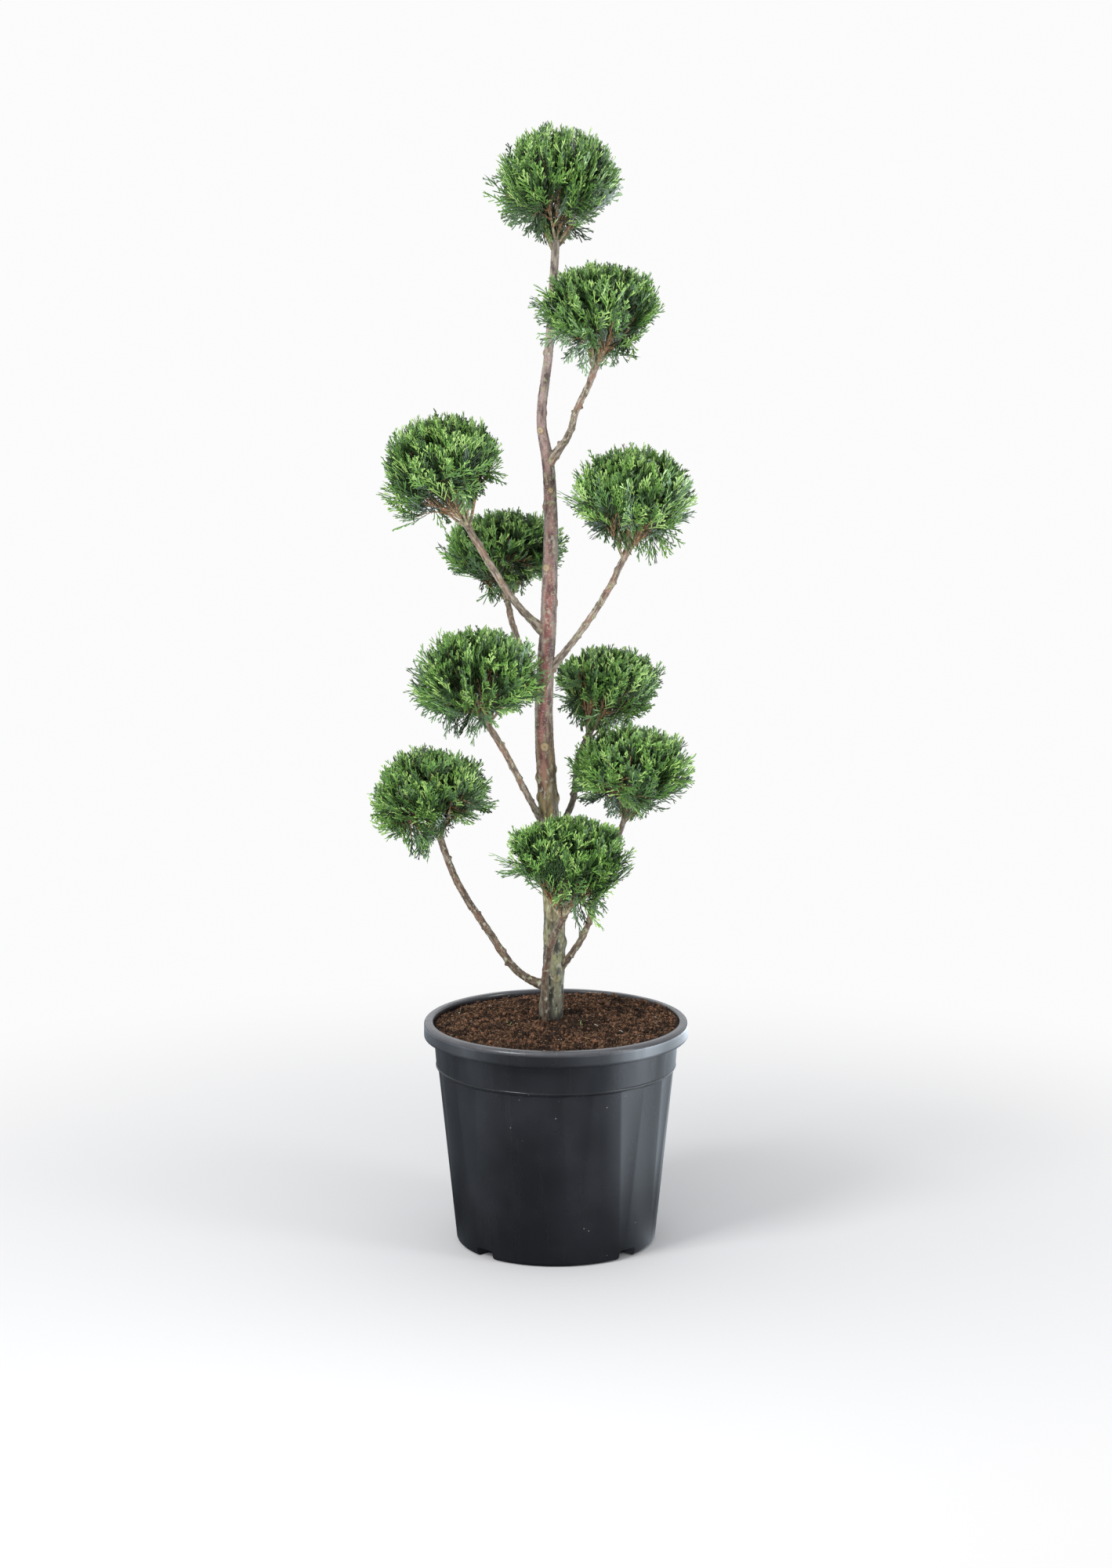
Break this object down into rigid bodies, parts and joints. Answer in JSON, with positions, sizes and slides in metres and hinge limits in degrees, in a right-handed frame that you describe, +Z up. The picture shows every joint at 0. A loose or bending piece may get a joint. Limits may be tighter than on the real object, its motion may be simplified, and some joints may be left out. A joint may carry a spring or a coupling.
{
  "type": "potted leyland cypress",
  "caption": "Clipped evergreen conifer with balls of foliage on bare curved boughs round one slim trunk, growing in a round black nursery pot.",
  "frame": {"origin": "centre of the pot's flat underside, on the ground", "axes": "+Z up along the pot's axis, -Y towards the viewer, +X to the viewer's right"},
  "size_m": [0.4288, 0.4079, 1.4806],
  "materials": {
    "pot": "satin black moulded plastic, slightly dusty",
    "soil": "loose brown fibrous peat",
    "bark": "thin rough bark, grey and red-brown with pale lichen",
    "foliage": "fresh green scale leaves, soft sheen"
  },
  "bodies": {
    "root": {"pot": "pot", "soil": "soil", "trunk": "bark", "bough_lower_left": "bark", "bough_lower_front": "bark", "bough_lower_right": "bark", "bough_middle_back_right": "bark", "bough_middle_left": "bark", "bough_middle_back_left": "bark", "bough_upper_right": "bark", "bough_upper_left": "bark", "bough_upper_front": "bark", "foliage_lower_left": "foliage", "foliage_lower_front": "foliage", "foliage_lower_right": "foliage", "foliage_middle_back_right": "foliage", "foliage_middle_left": "foliage", "foliage_middle_back_left": "foliage", "foliage_upper_right": "foliage", "foliage_upper_left": "foliage", "foliage_upper_front": "foliage", "foliage_top": "foliage"}
  },
  "joints": []
}
